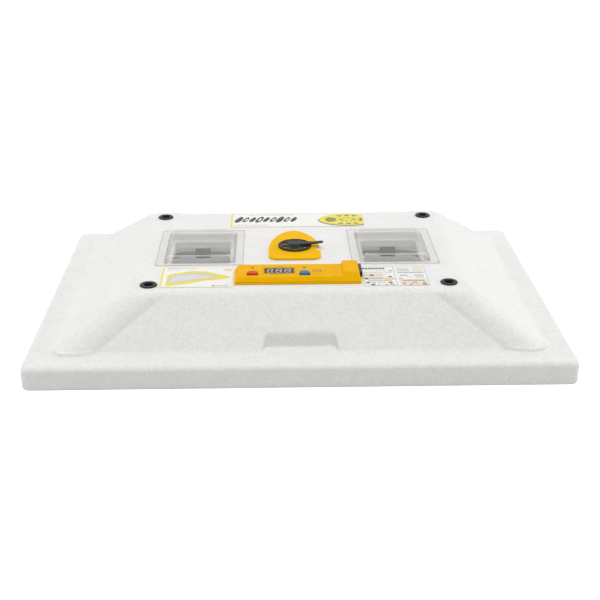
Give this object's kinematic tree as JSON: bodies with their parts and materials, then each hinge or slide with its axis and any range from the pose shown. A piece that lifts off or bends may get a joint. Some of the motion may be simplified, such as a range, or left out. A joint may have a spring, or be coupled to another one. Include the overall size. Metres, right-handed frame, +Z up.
{
  "type": "egg incubator lid",
  "caption": "Moulded foam lid of a household egg incubator with clear windows, vents, a control unit with display and buttons, and an egg-turning lever.",
  "frame": {"origin": "middle of the rim underside, on the plane the lid rests on", "axes": "+X to the right along the long side, -Y towards the front where the control unit sits, +Z up"},
  "size_m": [0.76, 0.56, 0.1165],
  "materials": {
    "foam": "moulded white foam with a fine bead texture",
    "clear_plastic": "clear moulded sheet",
    "black_plastic": "moulded, satin",
    "yellow_plastic": "moulded, semi-gloss",
    "plate_yellow": "moulded, semi-gloss",
    "dial_black": "moulded, satin",
    "smoked_window": "polished",
    "display_body": "moulded",
    "board_green": "solder mask",
    "red_plastic": "moulded, semi-gloss",
    "blue_plastic": "moulded, semi-gloss",
    "component_black": "moulded",
    "indicator_amber": "clear lens",
    "fitting_black": "moulded, satin",
    "zinc_steel": "zinc plated",
    "probe_steel": "drawn stainless",
    "heater_steel": "oxidised stainless",
    "ceramic_white": "unglazed",
    "bracket_black": "heat-resistant moulding",
    "cable_grey": "silicone sleeve",
    "label_back": "printed film",
    "label_chart": "printed film",
    "label_table": "printed film"
  },
  "bodies": {
    "lid": {"back_label": "label_back", "blue_switch": "component_black", "chart_label": "label_chart", "circuit_board": "board_green", "clamp_plate": "fitting_black", "clamp_screw_1": "zinc_steel", "clamp_screw_2": "zinc_steel", "clamp_screw_3": "zinc_steel", "clamp_screw_4": "zinc_steel", "control_base": "yellow_plastic", "control_cover": "yellow_plastic", "display_module": "display_body", "display_window": "smoked_window", "foam_lid": "foam", "heater_bracket_back_left": "bracket_black", "heater_bracket_back_right": "bracket_black", "heater_bracket_end_left": "bracket_black", "heater_bracket_end_right": "bracket_black", "heater_bracket_front_left": "bracket_black", "heater_bracket_front_right": "bracket_black", "heater_lead_left": "cable_grey", "heater_lead_right": "cable_grey", "heater_terminal_left": "ceramic_white", "heater_terminal_right": "ceramic_white", "heater_tube": "heater_steel", "indicator_left": "indicator_amber", "indicator_right": "indicator_amber", "inner_pane_left": "clear_plastic", "inner_pane_right": "clear_plastic", "mains_inlet": "fitting_black", "power_transformer": "component_black", "probe_cable": "cable_grey", "probe_clip": "bracket_black", "red_switch": "component_black", "table_label": "label_table", "temperature_probe": "probe_steel", "turner_bush": "black_plastic", "turner_plate": "plate_yellow", "turner_washer": "zinc_steel", "vent_bushing_back_left": "black_plastic", "vent_bushing_back_right": "black_plastic", "vent_bushing_front_left": "black_plastic", "vent_bushing_front_right": "black_plastic", "window_cover_left": "clear_plastic", "window_cover_right": "clear_plastic"},
    "red_button": {"red_button": "red_plastic"},
    "blue_button": {"blue_button": "blue_plastic"},
    "turner": {"turner_dial": "dial_black", "turner_shaft": "zinc_steel", "crank_arm": "zinc_steel", "crank_nut": "zinc_steel"}
  },
  "joints": [
    {"name": "red_button_press", "type": "slide", "parent": "lid", "child": "red_button", "axis": [0, 0, -1], "range_m": [0, 0.0012], "stiffness_N_per_m": 400, "springref_m": -0.0008},
    {"name": "blue_button_press", "type": "slide", "parent": "lid", "child": "blue_button", "axis": [0, 0, -1], "range_m": [0, 0.0012], "stiffness_N_per_m": 400, "springref_m": -0.0008},
    {"name": "turner_turn", "type": "hinge", "parent": "lid", "child": "turner", "pos_m": [-0.003, -0.0025, 0.1056], "axis": [0, 0, 1], "range_deg": [-45, 45]}
  ]
}
